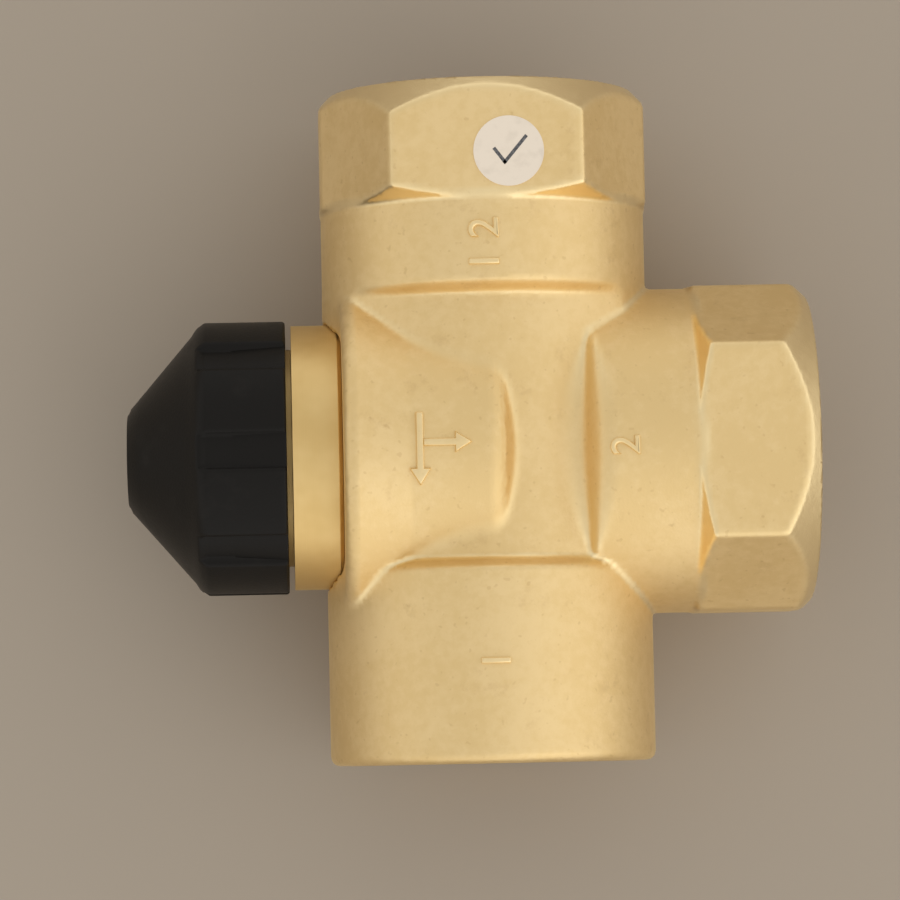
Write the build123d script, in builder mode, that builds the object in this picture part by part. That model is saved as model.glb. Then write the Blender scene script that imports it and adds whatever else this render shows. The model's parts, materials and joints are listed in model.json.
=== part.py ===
from build123d import *
import os
from math import cos, radians, sqrt, tan

# Three-way seat valve for DN 25 pipe, lying on its back.
# The common port points along +Y, the straight port along -Y, the branch port along +X
# and the actuator neck along -X. The origin is the centre of the common port's mouth.

# Pipe threads, drawn at their minor diameter, in millimetres
pipe_bore = 30.291
pipe_thread_depth = 16.0
mouth_chamfer = 0.5
waterway = 25.0  # bore behind each pipe thread

# Port bosses
port_wall = 5.3545  # from the pipe thread out to the round of every boss
hexagon_length = 15.0
hexagon_shoulder = 1.5  # from the round of the boss up to the hexagon's corners
hexagon_end_angle = 40.0  # of the turned chamfer, from the end face
end_face_od = 38.5
common_reach = 45.5  # from the crossing of the axes to each port's end face
straight_reach = 39.0
branch_reach = 40.5
straight_chamfer = 1.2

# Forged relief between the bosses, on the front and the back: a crowned floor, stepped at its ends
relief_top = 19.05
relief_bottom = 13.85
relief_step = 1.0  # length of the slope from the floor up to the barrel
relief_depth = 2.6  # from the barrel down to the middle of the floor
relief_flatness = 5.4  # of the crowned floor's radius over the barrel's
relief_side = 1.1  # the cut runs this far past the floor's edge on the barrel
relief_lift = 0.2  # the slope ends this far above the barrel, so that it runs out of it
relief_fillet = 0.5

# Branch boss and neck boss, turned about the stem axis
branch_start = 13.2
branch_cove = 4.7
branch_cove_round = 5.2
neck_reach = 18.3
neck_ridge_rise = 0.1  # of the boss's inner end over the round of the ports
neck_waist_rise = 0.4
neck_flare_rise = 1.5
neck_waist = 10.0  # from the crossing of the axes to where the flare starts
neck_inner_end = 1.0
neck_end_slope = 2.4
neck_foot_sink = 0.9  # of the slope's foot below the relief's floor
neck_rim_round = 1.6
neck_end_round = 0.5

# Waterways round the seats, measured from the crossing of the axes
seat_bore = 15.0
seat_lip_od = 18.4
seat_lip = 0.6
wall_start = -3.4
wall_end = 0.0
middle_chamber_length = 10.9
outer_chamber_step = 1.0  # inside the bonnet's thread
slot_clearance = 0.6
common_slot_height = 21.0
straight_slot_height = 18.0
common_bore_end = 20.0
straight_bore_end = 17.0

# Stem and its stroke
stem_d = 4.0
stem_tail_d = 3.0
stroke = 2.5
stem_clearance = 0.07
stem_tip_round = 0.5

# Seat ring screwed in through the branch port
ring_shoulder = 4.0  # of the ring outside its seat lip
ring_ledge = 1.0  # that the ring bears on, round the middle chamber
ring_length = 6.3
ring_key_width = 3.0
ring_key_depth = 1.6
branch_waterway_step = 0.6

# Bonnet with its collar and the actuator thread
bonnet_thread_d = 26.0
bonnet_thread_length = 7.2
collar_d = 33.4
collar_length = 6.5
collar_chamfer = 1.4
collar_chamfer_rise = 2.2
collar_face_gap = 0.4  # round the collar, where the body is faced back for it
neck_thread_d = 29.8
neck_thread_length = 8.0
neck_relief_d = 27.4
neck_relief_length = 1.5
neck_end_chamfer = 0.8
spring_chamber_d = 18.0
bonnet_floor = 2.0
fit_gap = 0.05

# Gland in the end of the bonnet
gland_d = 13.0
gland_nut_length = 4.2
gland_seal_bore = 8.0
spacer_length = 1.2
gland_key_width = 2.0
gland_key_depth = 1.5

# Guide disc, spring and spring cup
guide_thickness = 1.5
guide_hole_d = 3.4
guide_hole_count = 6
guide_hole_edge = 3.2  # from the bonnet's thread to the middle of each hole
guide_edge_gap = 0.1
cup_d = 17.2
cup_thickness = 1.2
cup_rim = 1.3
circlip_thickness = 0.6
circlip_d = 7.4
circlip_gap_angle = 70.0
circlip_groove_d = 3.2
circlip_end_gap = 0.3
spring_wire = 1.3
spring_mean_d = 13.4
spring_turns = 4.25
spring_end_gap = 0.1

# Plug with a rubber ring on each face
plug_d = 20.4
plug_seal_thickness = 1.9
plug_seal_proud = 0.5
plug_seal_cover = 0.6  # of the seal past the seat lip, on each side
seat_gap = 0.02
washer_d = 9.0
washer_thickness = 0.8
nut_flats = 5.5
nut_thickness = 2.2

# O-rings, by wire diameter
bonnet_ring_wire = 1.3
seat_ring_wire = 1.6
seat_ring_groove_start = 1.0
seat_ring_groove_width = 2.0

# Screwed protective cap
cap_skirt = 2.4  # from the actuator thread out to the grip panels
cap_panel_rise = 0.9
cap_bore_clearance = 0.15
cap_gap = 0.9  # from the cap's rim to the collar
cap_panel_length = 10.2
cap_panel_count = 8
cap_groove_width = 4.4
cap_shoulder = 0.7
cap_cone_length = 8.7
cap_tip_d = 12.0
cap_tip_crown = 0.2
cap_wall = 2.2
cap_bore_length = 10.4
stem_tip_reach = 14.2  # from the collar's outer face to the resting stem's tip
pressure_disc_d = 11.6
pressure_disc_thickness = 2.6
pressure_disc_gap = 0.4

# Round inspection label on the common port's front flat
label_d = 8.7
label_thickness = 0.12
label_across = 2.7
label_along = 36.0

# Cuts run past what they cut by the overrun, and meet inside a solid with the overlap
overrun = 1.0
overlap = 0.1

# Derived heights above the axes, and places along the stem axis from their crossing
port_od = pipe_bore + 2 * port_wall  # also across the flats of the hexagons
radius = port_od / 2
relief_crown = radius - relief_depth
relief_crown_round = radius + relief_flatness
crown_drop = relief_crown_round - relief_crown
floor_edge_height = (relief_crown_round**2 - radius**2 - crown_drop**2) / (2 * crown_drop)
floor_edge = sqrt(radius**2 - floor_edge_height**2)
neck_flare_r = radius + neck_flare_rise
neck_ridge_r = radius + neck_ridge_rise
collar_end = -neck_reach - collar_length
gland_seal_wire = (gland_seal_bore - stem_d) / 2 - stem_clearance
neck_end = collar_end - neck_relief_length - neck_thread_length
bonnet_inner_end = -neck_reach + bonnet_thread_length
guide_end = bonnet_inner_end + guide_thickness
gland_floor = neck_end + gland_nut_length + 2 * gland_seal_wire + spacer_length
chamber_floor = gland_floor + bonnet_floor
circlip_start = chamber_floor + circlip_end_gap
cup_start = circlip_start + circlip_thickness
spring_start = cup_start + cup_thickness + spring_end_gap
spring_end = bonnet_inner_end - spring_end_gap
outer_chamber = bonnet_thread_d - 2 * outer_chamber_step
guide_hole_circle = bonnet_thread_d - 2 * guide_hole_edge
cap_d = neck_thread_d + 2 * cap_skirt
cap_groove_d = cap_d - 2 * cap_panel_rise
ring_d = seat_lip_od + 2 * ring_shoulder
middle_chamber = ring_d - 2 * ring_ledge
branch_waterway = ring_d + 2 * branch_waterway_step
seat_a = wall_end + seat_lip
seat_mean_r = (seat_bore + seat_lip_od) / 4
plug_seal_width = (seat_lip_od - seat_bore) / 2 + 2 * plug_seal_cover
seat_b = middle_chamber_length - seat_lip / 2
plug_start = seat_a + seat_gap + plug_seal_proud
plug_end = seat_b - seat_gap - stroke - plug_seal_proud
stem_tip = collar_end - stem_tip_reach
cap_rim = collar_end - cap_gap
cap_panel_end = cap_rim - cap_panel_length
cap_tip = cap_panel_end - cap_shoulder - cap_cone_length
disc_face = stem_tip - pressure_disc_gap
disc_seat = disc_face - pressure_disc_thickness

# Planes and axes through the crossing of the port axes
centre = (0, -common_reach, 0)
front = Plane(origin=centre)
along_run = Plane(origin=centre, x_dir=(1, 0, 0), z_dir=(0, 1, 0))
along_stem = Plane(origin=centre, x_dir=(0, 1, 0), z_dir=(1, 0, 0))
along_straight = Plane(origin=centre, x_dir=(1, 0, 0), z_dir=(0, -1, 0))
run_axis = Axis(centre, (0, 1, 0))
stem_axis = Axis(centre, (1, 0, 0))


def turned(*outline, mode=Mode.ADD):
    """Turn an outline of (place along the stem axis, radius) points about the stem axis."""
    with BuildSketch(front) as section:
        with BuildLine():
            Polyline(*outline, close=True)
        make_face()
    revolve(section.sketch, axis=stem_axis, mode=mode)


def o_ring(place, mean_d, wire):
    """A rubber ring about the stem axis with its middle at place."""
    with BuildPart() as ring:
        with BuildSketch(front):
            with Locations((place, mean_d / 2)):
                Circle(wire / 2)
        revolve(axis=stem_axis)
    return ring


def above_arc(place, crown, crown_round):
    """All that lies above an arc across the barrel, as a sketch at a place along the run."""
    half_width = floor_edge + relief_side
    arc_end = crown - crown_round + sqrt(crown_round**2 - half_width**2)
    with BuildSketch(along_run.offset(place)) as section:
        with BuildLine():
            ThreePointArc((-half_width, arc_end), (0, crown), (half_width, arc_end))
            Polyline(
                (half_width, arc_end),
                (half_width, port_od),
                (-half_width, port_od),
                (-half_width, arc_end),
            )
        make_face()
    return section.sketch


def hexagon_end(plane, axis, reach):
    """Hexagon of a port: side corners trimmed flush with the round, both ends turned down."""
    start = reach - hexagon_length
    corner = radius / cos(radians(30))
    end_drop = (corner - end_face_od / 2) * tan(radians(hexagon_end_angle))
    lengthways = Plane(origin=plane.origin, x_dir=plane.x_dir, z_dir=plane.x_dir.cross(plane.z_dir))
    with BuildPart() as end:
        with BuildSketch(plane.offset(start)):
            RegularPolygon(radius, 6, major_radius=False)
            Rectangle(port_od, 2 * port_od, mode=Mode.INTERSECT)
        extrude(amount=hexagon_length)
        with BuildSketch(lengthways):
            with BuildLine():
                Polyline(
                    (0, start),
                    (radius, start),
                    (corner, start + hexagon_shoulder),
                    (corner, reach - end_drop),
                    (end_face_od / 2, reach),
                    (0, reach),
                    close=True,
                )
            make_face()
        revolve(axis=axis, mode=Mode.INTERSECT)
    return end.part


# What the relief takes off the barrel: above the crowned floor, and sloped at each end
with BuildPart() as relief_cut:
    lower_floor = above_arc(-relief_bottom, relief_crown, relief_crown_round)
    upper_floor = above_arc(relief_top, relief_crown, relief_crown_round)
    slope_top = radius + relief_lift
    extrude(lower_floor, amount=relief_bottom + relief_top)
    loft([above_arc(-relief_bottom - relief_step, slope_top, slope_top), lower_floor], ruled=True)
    loft([upper_floor, above_arc(relief_top + relief_step, slope_top, slope_top)], ruled=True)
    mirror(about=front)

# Body: one brass forging with its waterways and the inner seat machined into it
with BuildPart() as valve_body:
    # Round barrel of the run, from the straight port up to the common port's hexagon
    with BuildSketch(front):
        with BuildLine():
            Polyline(
                (0, -straight_reach),
                (radius - straight_chamfer, -straight_reach),
                (radius, -straight_reach + straight_chamfer),
                (radius, common_reach - hexagon_length),
                (0, common_reach - hexagon_length),
                close=True,
            )
        make_face()
    revolve(axis=run_axis)
    add(relief_cut.part, mode=Mode.SUBTRACT)
    # Rounds at the foot and at the lip of the relief's slopes
    slope_feet = valve_body.edges().filter_by(GeomType.CIRCLE).filter_by(
        lambda e: abs(e.radius - relief_crown_round) < 0.01
    )
    fillet(slope_feet, relief_fillet)
    slope_lips = valve_body.edges().filter_by(GeomType.BSPLINE).filter_by(
        lambda e: abs(e.center().Z) > (relief_crown + radius) / 2
    )
    fillet(slope_lips, relief_fillet)
    # Branch boss, which meets the relief in a cove
    with BuildSketch(front):
        with BuildLine():
            cove_start = (branch_start - branch_cove, radius - branch_cove)
            Line((0, 0), (0, cove_start[1]))
            Line((0, cove_start[1]), cove_start)
            RadiusArc(cove_start, (branch_start, radius), -branch_cove_round)
            Line((branch_start, radius), (branch_reach - hexagon_length, radius))
            Line((branch_reach - hexagon_length, radius), (branch_reach - hexagon_length, 0))
            Line((branch_reach - hexagon_length, 0), (0, 0))
        make_face()
    revolve(axis=stem_axis)
    # Neck boss, flared towards the actuator
    turned(
        (-neck_reach, 0),
        (-neck_reach, neck_flare_r - neck_rim_round),
        (-neck_reach + neck_rim_round / 2, neck_flare_r - neck_rim_round / 4),
        (-neck_reach + neck_rim_round, neck_flare_r),
        (-neck_waist, radius + neck_waist_rise),
        (neck_inner_end - neck_end_round, neck_ridge_r),
        (neck_inner_end + neck_end_round, neck_ridge_r - neck_end_round),
        (neck_inner_end + neck_end_slope, relief_crown - neck_foot_sink),
        (neck_inner_end + neck_end_slope, 0),
    )
    # The barrel's side is faced back where the bonnet's collar seats
    turned(
        (-radius - overrun, 0),
        (-radius - overrun, collar_d / 2 + collar_face_gap),
        (-neck_reach, collar_d / 2 + collar_face_gap),
        (-neck_reach, 0),
        mode=Mode.SUBTRACT,
    )

    # Hexagons of the common and the branch port
    add(hexagon_end(along_run, run_axis, common_reach))
    add(hexagon_end(along_stem, stem_axis, branch_reach))

    # Pipe threads, and the bores behind the two ports of the run
    ports = (
        along_run.offset(common_reach),
        along_straight.offset(straight_reach),
        along_stem.offset(branch_reach),
    )
    with Locations(*ports):
        Hole(pipe_bore / 2, pipe_thread_depth)
    with Locations(ports[0]):
        Hole(waterway / 2, common_reach - common_bore_end)
    with Locations(ports[1]):
        Hole(waterway / 2, straight_reach - straight_bore_end)
    mouths = valve_body.edges().filter_by(GeomType.CIRCLE).filter_by(
        lambda e: abs(e.radius - pipe_bore / 2) < 0.01
        and any(abs(plane.to_local_coords(e.center()).Z) < 0.01 for plane in ports)
    )
    chamfer(mouths, mouth_chamfer)

    # Everything on the stem axis: bonnet thread, both chambers, inner seat and branch waterway
    turned(
        (-neck_reach - overrun, 0),
        (-neck_reach - overrun, bonnet_thread_d / 2 + bonnet_ring_wire + fit_gap),
        (-neck_reach + bonnet_ring_wire, bonnet_thread_d / 2 + bonnet_ring_wire + fit_gap),
        (-neck_reach + bonnet_ring_wire, bonnet_thread_d / 2),
        (guide_end, bonnet_thread_d / 2),
        (guide_end, outer_chamber / 2),
        (wall_start, outer_chamber / 2),
        (wall_start, seat_bore / 2),
        (seat_a, seat_bore / 2),
        (seat_a, seat_lip_od / 2),
        (wall_end, seat_lip_od / 2 + seat_lip),
        (wall_end, middle_chamber / 2),
        (middle_chamber_length, middle_chamber / 2),
        (middle_chamber_length, ring_d / 2),
        (middle_chamber_length + ring_length, ring_d / 2),
        (middle_chamber_length + ring_length, branch_waterway / 2),
        (branch_reach - pipe_thread_depth + overlap, branch_waterway / 2),
        (branch_reach - pipe_thread_depth + overlap, 0),
        mode=Mode.SUBTRACT,
    )

    # Slots that lead from each chamber to its port
    common_slot = middle_chamber_length - wall_end - 2 * slot_clearance
    with BuildSketch(along_run):
        with Locations((wall_end + slot_clearance + common_slot / 2, 0)):
            RectangleRounded(common_slot, common_slot_height, common_slot / 2 - 0.01)
    extrude(amount=common_bore_end + overlap, mode=Mode.SUBTRACT)
    straight_slot = wall_start - guide_end - 2 * slot_clearance
    with BuildSketch(along_straight):
        with Locations((wall_start - slot_clearance - straight_slot / 2, 0)):
            RectangleRounded(straight_slot, straight_slot_height, straight_slot / 2 - 0.01)
    extrude(amount=straight_bore_end + overlap, mode=Mode.SUBTRACT)

# Bonnet: collar, actuator thread and spring chamber, screwed into the body's neck
with BuildPart() as bonnet:
    turned(
        (bonnet_inner_end, spring_chamber_d / 2),
        (bonnet_inner_end, bonnet_thread_d / 2 - fit_gap),
        (-neck_reach, bonnet_thread_d / 2 - fit_gap),
        (-neck_reach, collar_d / 2 - collar_chamfer_rise),
        (-neck_reach - collar_chamfer, collar_d / 2),
        (collar_end, collar_d / 2),
        (collar_end, neck_relief_d / 2),
        (collar_end - neck_relief_length, neck_relief_d / 2),
        (collar_end - neck_relief_length, neck_thread_d / 2),
        (neck_end + neck_end_chamfer, neck_thread_d / 2),
        (neck_end, neck_thread_d / 2 - neck_end_chamfer),
        (neck_end, gland_d / 2),
        (neck_end + gland_nut_length, gland_d / 2),
        (neck_end + gland_nut_length, gland_seal_bore / 2),
        (gland_floor, gland_seal_bore / 2),
        (gland_floor, stem_d / 2 + stem_clearance),
        (chamber_floor, stem_d / 2 + stem_clearance),
        (chamber_floor, spring_chamber_d / 2),
    )

# Ring that seals the collar against the body
bonnet_ring_place = -neck_reach + bonnet_ring_wire / 2
bonnet_o_ring = o_ring(bonnet_ring_place, bonnet_thread_d + bonnet_ring_wire, bonnet_ring_wire)

# Gland nut with a screwdriver slot across its face
with BuildPart() as gland_nut:
    turned(
        (neck_end, stem_d / 2 + stem_clearance),
        (neck_end, gland_d / 2 - fit_gap),
        (neck_end + gland_nut_length, gland_d / 2 - fit_gap),
        (neck_end + gland_nut_length, stem_d / 2 + stem_clearance),
    )
    with BuildSketch(along_stem.offset(neck_end)):
        Rectangle(gland_key_width, gland_d)
    extrude(amount=gland_key_depth, mode=Mode.SUBTRACT)

# Two stem seals with a spacer between them
outer_seal_place = neck_end + gland_nut_length + gland_seal_wire / 2
inner_seal_place = gland_floor - gland_seal_wire / 2
gland_seal_mean_d = gland_seal_bore - gland_seal_wire
stem_seal_outer = o_ring(outer_seal_place, gland_seal_mean_d, gland_seal_wire)
stem_seal_inner = o_ring(inner_seal_place, gland_seal_mean_d, gland_seal_wire)
with BuildPart() as seal_spacer:
    spacer_start = outer_seal_place + gland_seal_wire / 2
    turned(
        (spacer_start, stem_d / 2 + stem_clearance),
        (spacer_start, gland_seal_bore / 2 - fit_gap),
        (spacer_start + spacer_length, gland_seal_bore / 2 - fit_gap),
        (spacer_start + spacer_length, stem_d / 2 + stem_clearance),
    )

# Perforated disc between the bonnet and the body, which guides the stem and backs the spring
with BuildPart() as stem_guide:
    with BuildSketch(along_stem.offset(bonnet_inner_end)):
        Circle(bonnet_thread_d / 2 - guide_edge_gap)
        Circle(stem_d / 2 + stem_clearance, mode=Mode.SUBTRACT)
        with PolarLocations(guide_hole_circle / 2, guide_hole_count):
            Circle(guide_hole_d / 2, mode=Mode.SUBTRACT)
    extrude(amount=guide_thickness)

# Stainless stem: pressed inwards at its tip, grooved for the circlip, shouldered for the plug
with BuildPart() as stem:
    stem_shoulder = plug_start - washer_thickness
    stem_end = plug_end + nut_thickness + stem_tip_round
    turned(
        (stem_tip, 0),
        (stem_tip, stem_d / 2 - stem_tip_round),
        (stem_tip + stem_tip_round, stem_d / 2),
        (circlip_start, stem_d / 2),
        (circlip_start, circlip_groove_d / 2),
        (cup_start, circlip_groove_d / 2),
        (cup_start, stem_d / 2),
        (stem_shoulder, stem_d / 2),
        (stem_shoulder, stem_tail_d / 2),
        (stem_end, stem_tail_d / 2),
        (stem_end, 0),
    )

# Circlip that stops the spring cup on the stem
with BuildPart() as circlip:
    with BuildSketch(along_stem.offset(circlip_start)):
        Circle(circlip_d / 2)
        Circle(circlip_groove_d / 2 + seat_gap, mode=Mode.SUBTRACT)
        with BuildLine():
            gap_edge = PolarLine((0, 0), circlip_d, -circlip_gap_angle / 2)
            far_edge = PolarLine((0, 0), circlip_d, circlip_gap_angle / 2)
            Line(gap_edge @ 1, far_edge @ 1)
        make_face(mode=Mode.SUBTRACT)
    extrude(amount=circlip_thickness)

# Pressed cup that takes the spring's thrust
with BuildPart() as spring_cup:
    turned(
        (cup_start, stem_d / 2 + seat_gap),
        (cup_start, cup_d / 2),
        (cup_start + cup_thickness + cup_rim, cup_d / 2),
        (cup_start + cup_thickness + cup_rim, cup_d / 2 - cup_thickness / 2),
        (cup_start + cup_thickness, cup_d / 2 - cup_thickness / 2),
        (cup_start + cup_thickness, stem_d / 2 + seat_gap),
    )

# Return spring, which holds the stem out and the plug on the inner seat
with BuildPart() as return_spring:
    spring_travel = spring_end - spring_start - spring_wire
    coil_centre = (spring_start + spring_wire / 2, centre[1], 0)
    pitch = spring_travel / spring_turns
    with BuildLine() as coil:
        Helix(pitch, spring_travel, spring_mean_d / 2, center=coil_centre, direction=(1, 0, 0))
    with BuildSketch(Plane(origin=coil.line @ 0, z_dir=coil.line % 0)):
        Circle(spring_wire / 2)
    sweep(path=coil.line, is_frenet=True)

# Plug between the two seats, with a groove for a rubber ring in each face
seal_inner_r = seat_mean_r - plug_seal_width / 2
seal_outer_r = seat_mean_r + plug_seal_width / 2
seal_depth = plug_seal_thickness - plug_seal_proud
with BuildPart() as plug:
    turned(
        (plug_start, stem_tail_d / 2 + seat_gap),
        (plug_start, seal_inner_r),
        (plug_start + seal_depth, seal_inner_r),
        (plug_start + seal_depth, seal_outer_r),
        (plug_start, seal_outer_r),
        (plug_start, plug_d / 2),
        (plug_end, plug_d / 2),
        (plug_end, seal_outer_r),
        (plug_end - seal_depth, seal_outer_r),
        (plug_end - seal_depth, seal_inner_r),
        (plug_end, seal_inner_r),
        (plug_end, stem_tail_d / 2 + seat_gap),
    )
with BuildPart() as plug_seal_a:
    turned(
        (plug_start - plug_seal_proud, seal_inner_r),
        (plug_start - plug_seal_proud, seal_outer_r),
        (plug_start + seal_depth, seal_outer_r),
        (plug_start + seal_depth, seal_inner_r),
    )
with BuildPart() as plug_seal_b:
    turned(
        (plug_end - seal_depth, seal_inner_r),
        (plug_end - seal_depth, seal_outer_r),
        (plug_end + plug_seal_proud, seal_outer_r),
        (plug_end + plug_seal_proud, seal_inner_r),
    )

# Washer and nut that clamp the plug against the stem's shoulder
with BuildPart() as plug_washer:
    with BuildSketch(along_stem.offset(stem_shoulder)):
        Circle(washer_d / 2)
        Circle(stem_tail_d / 2 + seat_gap, mode=Mode.SUBTRACT)
    extrude(amount=washer_thickness)
with BuildPart() as plug_nut:
    with BuildSketch(along_stem.offset(plug_end)):
        RegularPolygon(nut_flats / 2, 6, major_radius=False)
        Circle(stem_tail_d / 2 + seat_gap, mode=Mode.SUBTRACT)
    extrude(amount=nut_thickness)

# Seat ring for the branch port, with its sealing groove and a slot for the key
with BuildPart() as branch_seat_ring:
    groove_start = middle_chamber_length + seat_ring_groove_start
    groove_end = groove_start + seat_ring_groove_width
    ring_end = middle_chamber_length + ring_length
    turned(
        (seat_b, seat_bore / 2),
        (seat_b, seat_lip_od / 2),
        (middle_chamber_length, seat_lip_od / 2 + seat_lip / 2),
        (middle_chamber_length, ring_d / 2 - fit_gap),
        (groove_start, ring_d / 2 - fit_gap),
        (groove_start, ring_d / 2 - seat_ring_wire),
        (groove_end, ring_d / 2 - seat_ring_wire),
        (groove_end, ring_d / 2 - fit_gap),
        (ring_end, ring_d / 2 - fit_gap),
        (ring_end, seat_bore / 2),
    )
    with BuildSketch(along_stem.offset(ring_end)):
        Rectangle(ring_key_width, ring_d + overrun)
    extrude(amount=-ring_key_depth, mode=Mode.SUBTRACT)
seat_ring_o_ring = o_ring((groove_start + groove_end) / 2, ring_d - seat_ring_wire, seat_ring_wire)

# Protective cap: grip panels, cone and flat tip outside, screw bore and disc socket inside
with BuildPart() as protective_cap:
    cone_start = cap_panel_end - cap_shoulder
    cone_slope = (cap_d / 2 - cap_shoulder - cap_tip_d / 2) / cap_cone_length
    bore_r = neck_thread_d / 2 + cap_bore_clearance
    bore_end = cap_rim - cap_bore_length
    ceiling_r = cap_d / 2 - cap_shoulder - (cone_start - disc_face) * cone_slope - cap_wall
    turned(
        (cap_rim, bore_r),
        (cap_rim, cap_d / 2),
        (cap_panel_end, cap_d / 2),
        (cone_start, cap_d / 2 - cap_shoulder),
        (cap_tip, cap_tip_d / 2),
        (cap_tip - cap_tip_crown, cap_tip_d / 4),
        (cap_tip - cap_tip_crown, 0),
        (disc_seat, 0),
        (disc_seat, pressure_disc_d / 2 + fit_gap),
        (disc_face, pressure_disc_d / 2 + fit_gap),
        (disc_face, ceiling_r),
        (bore_end, bore_r),
    )
    with BuildSketch(along_stem.offset(cap_rim)):
        with PolarLocations(cap_groove_d / 2 + cap_d / 4, cap_panel_count):
            Rectangle(cap_d / 2, cap_groove_width)
    extrude(amount=cone_start - cap_rim, mode=Mode.SUBTRACT)

# Disc in the cap's crown, on which the cap would bear on the stem's tip
with BuildPart() as pressure_disc:
    with BuildSketch(along_stem.offset(disc_seat)):
        Circle(pressure_disc_d / 2)
    extrude(amount=pressure_disc_thickness)

# Round inspection label
with BuildPart() as inspection_label:
    with BuildSketch(front.offset(radius)):
        with Locations((label_across, label_along)):
            Circle(label_d / 2)
    extrude(amount=label_thickness)

os.makedirs("parts", exist_ok=True)
valve_body.part.label = "valve_body"
export_step(valve_body.part, "parts/valve_body.step")
bonnet.part.label = "bonnet"
export_step(bonnet.part, "parts/bonnet.step")
bonnet_o_ring.part.label = "bonnet_o_ring"
export_step(bonnet_o_ring.part, "parts/bonnet_o_ring.step")
gland_nut.part.label = "gland_nut"
export_step(gland_nut.part, "parts/gland_nut.step")
stem_seal_outer.part.label = "stem_seal_outer"
export_step(stem_seal_outer.part, "parts/stem_seal_outer.step")
stem_seal_inner.part.label = "stem_seal_inner"
export_step(stem_seal_inner.part, "parts/stem_seal_inner.step")
seal_spacer.part.label = "seal_spacer"
export_step(seal_spacer.part, "parts/seal_spacer.step")
stem_guide.part.label = "stem_guide"
export_step(stem_guide.part, "parts/stem_guide.step")
stem.part.label = "stem"
export_step(stem.part, "parts/stem.step")
circlip.part.label = "circlip"
export_step(circlip.part, "parts/circlip.step")
spring_cup.part.label = "spring_cup"
export_step(spring_cup.part, "parts/spring_cup.step")
return_spring.part.label = "return_spring"
export_step(return_spring.part, "parts/return_spring.step")
plug.part.label = "plug"
export_step(plug.part, "parts/plug.step")
plug_seal_a.part.label = "plug_seal_a"
export_step(plug_seal_a.part, "parts/plug_seal_a.step")
plug_seal_b.part.label = "plug_seal_b"
export_step(plug_seal_b.part, "parts/plug_seal_b.step")
plug_washer.part.label = "plug_washer"
export_step(plug_washer.part, "parts/plug_washer.step")
plug_nut.part.label = "plug_nut"
export_step(plug_nut.part, "parts/plug_nut.step")
branch_seat_ring.part.label = "branch_seat_ring"
export_step(branch_seat_ring.part, "parts/branch_seat_ring.step")
seat_ring_o_ring.part.label = "seat_ring_o_ring"
export_step(seat_ring_o_ring.part, "parts/seat_ring_o_ring.step")
protective_cap.part.label = "protective_cap"
export_step(protective_cap.part, "parts/protective_cap.step")
pressure_disc.part.label = "pressure_disc"
export_step(pressure_disc.part, "parts/pressure_disc.step")
inspection_label.part.label = "inspection_label"
export_step(inspection_label.part, "parts/inspection_label.step")
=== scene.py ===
# %% [markdown]
# # A brass three-way valve, dressed for its portrait
#
# The valve is one forging with three ports, a turned collar and a black screwed cap. The
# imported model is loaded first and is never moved: it carries the sizes, the joints and the
# pieces that are already right. This script adds what a forging hammer, a lathe and a mould
# leave behind, which are soft creases, crisp threads and the grain of each surface.
#
# Forms that are forged are described by a distance function and meshed from it. Forms that
# are turned are swept round an axis. Each way gives that kind of surface its true edges.

# %% Load the frame
import json
import math

import bmesh
import bpy
import numpy as np
from mathutils import Matrix, Vector

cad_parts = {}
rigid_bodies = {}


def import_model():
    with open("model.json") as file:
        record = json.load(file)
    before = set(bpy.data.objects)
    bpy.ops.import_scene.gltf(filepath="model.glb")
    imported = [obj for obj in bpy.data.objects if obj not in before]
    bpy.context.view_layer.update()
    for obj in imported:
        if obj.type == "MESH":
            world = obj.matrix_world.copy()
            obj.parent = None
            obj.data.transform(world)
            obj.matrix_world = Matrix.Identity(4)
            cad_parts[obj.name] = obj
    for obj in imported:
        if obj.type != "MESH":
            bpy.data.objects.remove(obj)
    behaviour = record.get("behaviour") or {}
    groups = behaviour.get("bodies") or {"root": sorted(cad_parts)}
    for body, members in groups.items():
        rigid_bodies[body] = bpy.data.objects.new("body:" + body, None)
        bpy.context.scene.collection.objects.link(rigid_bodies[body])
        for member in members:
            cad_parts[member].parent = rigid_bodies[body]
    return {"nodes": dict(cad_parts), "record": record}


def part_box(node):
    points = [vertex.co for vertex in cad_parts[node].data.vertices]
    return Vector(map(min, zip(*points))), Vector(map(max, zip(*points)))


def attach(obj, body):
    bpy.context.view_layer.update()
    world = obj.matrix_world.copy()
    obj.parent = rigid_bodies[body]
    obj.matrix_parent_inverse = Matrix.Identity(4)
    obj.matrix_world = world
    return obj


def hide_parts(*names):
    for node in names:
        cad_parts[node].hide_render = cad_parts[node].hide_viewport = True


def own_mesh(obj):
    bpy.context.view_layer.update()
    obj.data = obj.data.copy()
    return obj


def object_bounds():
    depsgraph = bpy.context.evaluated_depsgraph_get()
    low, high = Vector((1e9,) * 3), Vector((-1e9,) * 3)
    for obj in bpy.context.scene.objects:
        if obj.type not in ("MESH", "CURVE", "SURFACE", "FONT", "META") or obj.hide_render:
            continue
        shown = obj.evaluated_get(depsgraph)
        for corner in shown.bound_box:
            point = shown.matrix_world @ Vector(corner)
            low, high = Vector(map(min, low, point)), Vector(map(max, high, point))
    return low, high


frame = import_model()
cad_low, cad_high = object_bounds()
nodes = frame["nodes"]
MM = 0.001

print("size in mm:", [round((b - a) / MM, 2) for a, b in zip(cad_low, cad_high)])

# %% [markdown]
# ## Driving sizes
#
# All making below is in millimetres, counted from the crossing of the port axes: x runs out
# of the branch port, y up the run and z out of the front. Most lengths are read back from
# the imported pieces, so that a change of the model carries through.


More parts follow.
